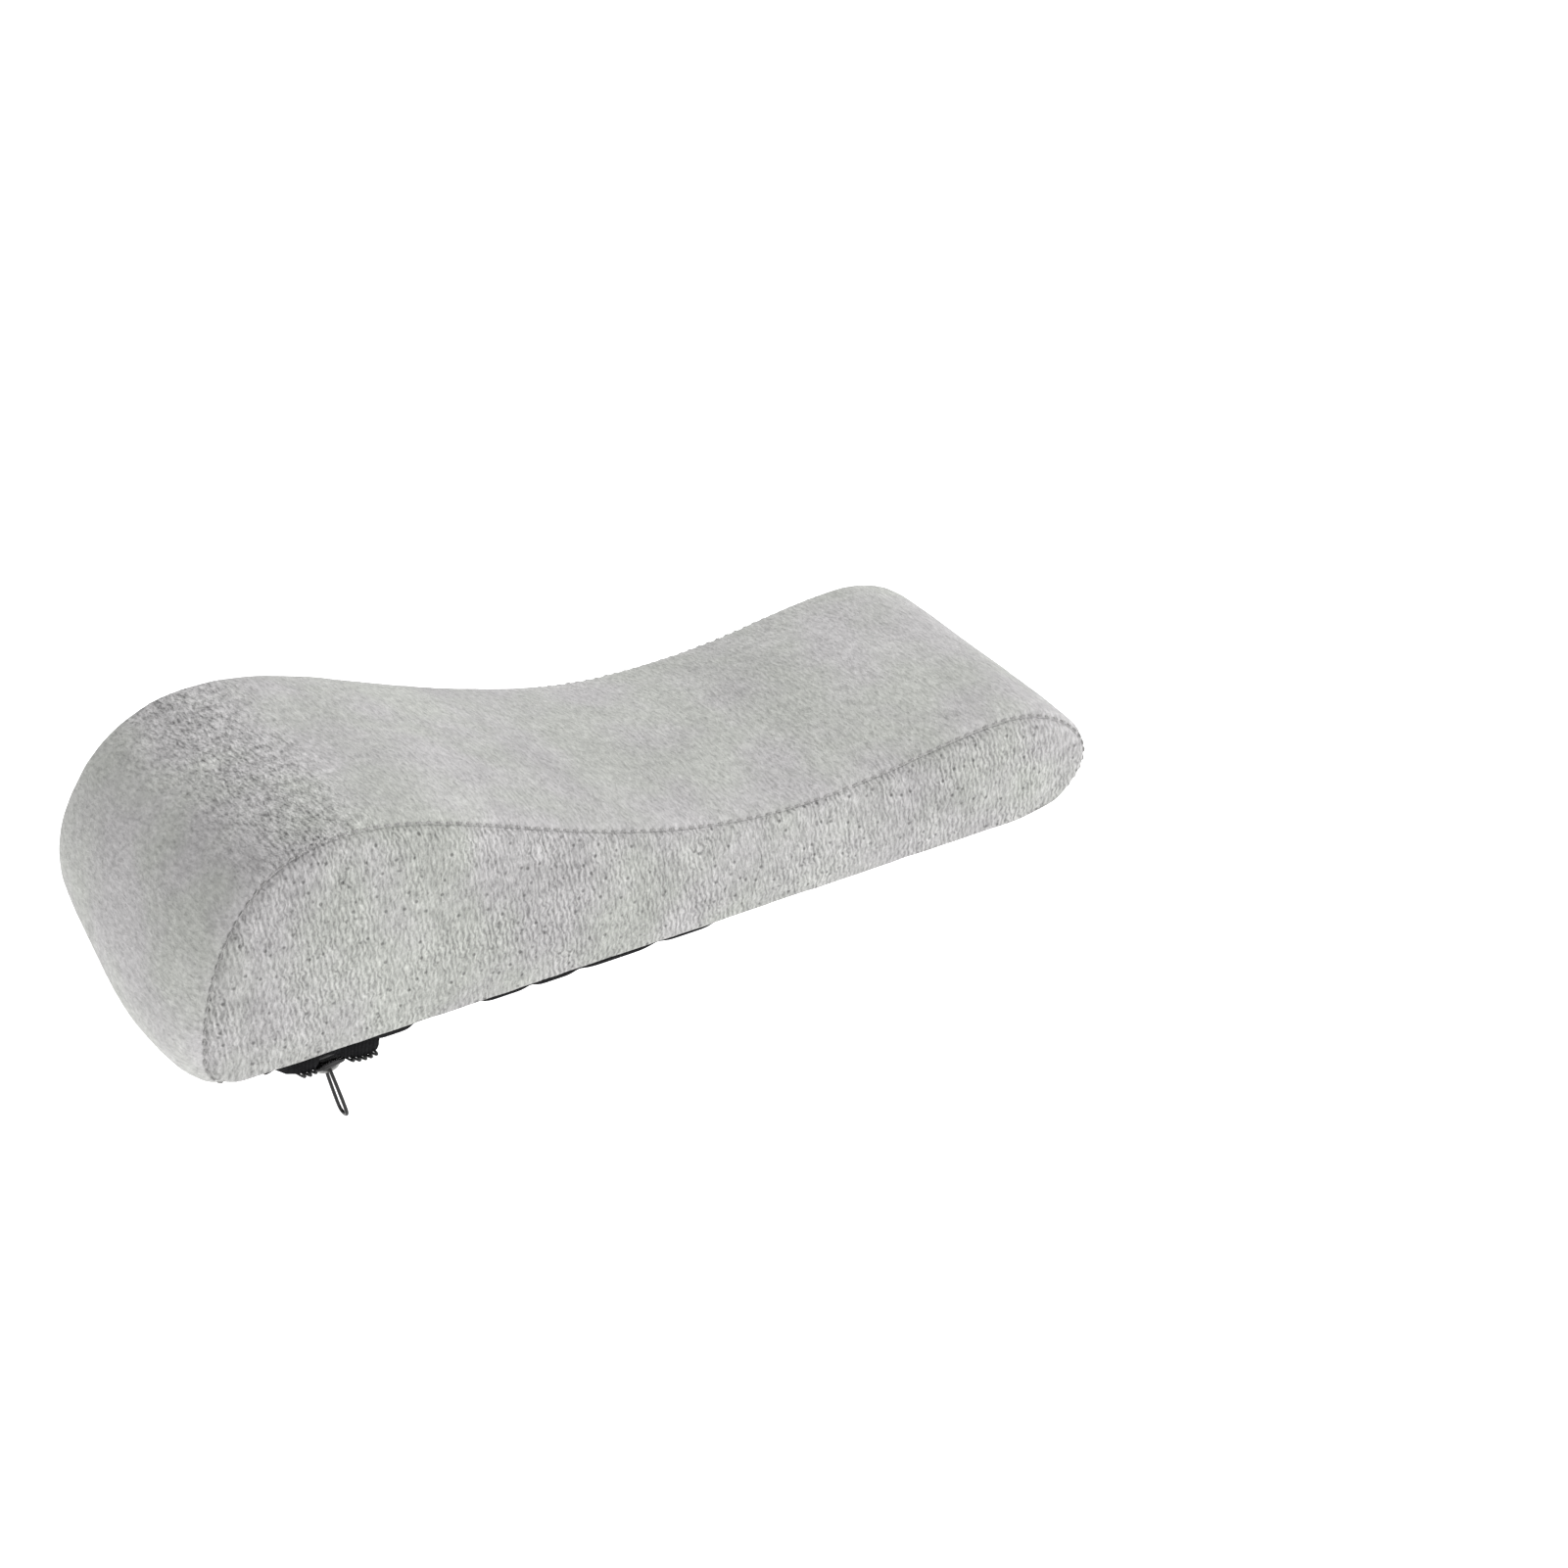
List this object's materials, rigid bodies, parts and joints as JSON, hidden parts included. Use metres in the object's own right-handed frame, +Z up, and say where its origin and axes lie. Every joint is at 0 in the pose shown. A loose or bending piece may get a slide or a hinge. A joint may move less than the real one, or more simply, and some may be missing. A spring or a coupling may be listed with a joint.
{
  "type": "chair armrest pad",
  "caption": "Contoured foam pad for a chair armrest, with a tall rounded end, a dip and a low end, in a zipped velour cover with hook-and-loop straps underneath.",
  "frame": {"origin": "middle of the pad in plan, on the plane that its grip dots stand on, which is z = 0", "axes": "+X along the pad from the tall end to the low end, +Y across it away from the zipper, +Z up"},
  "size_m": [0.2511, 0.0808, 0.078],
  "materials": {
    "velour_top": "short-pile velour with a brushed nap, light warm grey",
    "velour_side": "short-pile velour, light warm grey, fine diagonal rib",
    "base_knit": "charcoal polyester knit",
    "grip_rubber": "matt silicone dots",
    "memory_foam": "open-cell slow-recovery foam",
    "liner_knit": "thin white knit",
    "grey_thread": "spun polyester thread, grey",
    "black_thread": "spun polyester thread, black",
    "tack_thread": "spun polyester thread, dark grey",
    "zipper_tape": "herringbone woven polyester tape, black",
    "coil_nylon": "black nylon coil, slightly glossy",
    "black_enamel": "glossy black enamel over die-cast zinc and steel wire",
    "webbing": "black elastic webbing, plain weave",
    "hook_tape": "black nylon hook tape",
    "loop_tape": "black nylon loop tape, fuzzy"
  },
  "bodies": {
    "pad": {"foam_core": "memory_foam", "inner_liner": "liner_knit", "top_panel": "velour_top", "zip_side_panel": "velour_side", "plain_side_panel": "velour_side", "base_panel": "base_knit", "grip_dots": "grip_rubber", "zip_seam_thread": "grey_thread", "plain_seam_thread": "grey_thread", "base_seam_thread": "black_thread", "zipper_tape_outer": "zipper_tape", "zipper_tape_inner": "zipper_tape", "zipper_coil_outer": "coil_nylon", "zipper_coil_inner": "coil_nylon", "zipper_end_tacks": "black_thread", "strap_tack_threads": "tack_thread", "tall_end_strap_hems": "webbing", "low_end_strap_hems": "webbing"},
    "slider": {"slider_body": "black_enamel", "zipper_slack_tape": "zipper_tape", "zipper_slack_coil": "coil_nylon"},
    "pull": {"pull_loop": "black_enamel"},
    "tall_end_long_half": {"tall_end_long_strap": "webbing", "tall_end_hook_patch": "hook_tape"},
    "tall_end_short_half": {"tall_end_short_strap": "webbing", "tall_end_loop_patch": "loop_tape"},
    "low_end_long_half": {"low_end_long_strap": "webbing", "low_end_hook_patch": "hook_tape"},
    "low_end_short_half": {"low_end_short_strap": "webbing", "low_end_loop_patch": "loop_tape"}
  },
  "joints": [
    {"name": "slider_slide", "type": "slide", "parent": "pad", "child": "slider", "axis": [1, 0, 0], "range_m": [0, 0.177]},
    {"name": "pull_swing", "type": "hinge", "parent": "slider", "child": "pull", "pos_m": [-0.0925, -0.03606, -0.00554], "axis": [0, 0.9781, -0.2079], "range_deg": [-63, 88]},
    {"name": "tall_end_long_fold", "type": "hinge", "parent": "pad", "child": "tall_end_long_half", "pos_m": [-0.062, 0.0285, -0.0007], "axis": [1, 0, 0], "range_deg": [0, 95]},
    {"name": "tall_end_short_fold", "type": "hinge", "parent": "pad", "child": "tall_end_short_half", "pos_m": [-0.062, -0.0203, -0.0007], "axis": [1, 0, 0], "range_deg": [-95, 0]},
    {"name": "low_end_long_fold", "type": "hinge", "parent": "pad", "child": "low_end_long_half", "pos_m": [0.062, 0.0285, -0.0007], "axis": [1, 0, 0], "range_deg": [0, 95]},
    {"name": "low_end_short_fold", "type": "hinge", "parent": "pad", "child": "low_end_short_half", "pos_m": [0.062, -0.0203, -0.0007], "axis": [1, 0, 0], "range_deg": [-95, 0]}
  ],
  "couplings": [
    {"joint": "tall_end_short_fold", "follows": "tall_end_long_fold", "ratio": -1},
    {"joint": "low_end_short_fold", "follows": "low_end_long_fold", "ratio": -1}
  ]
}
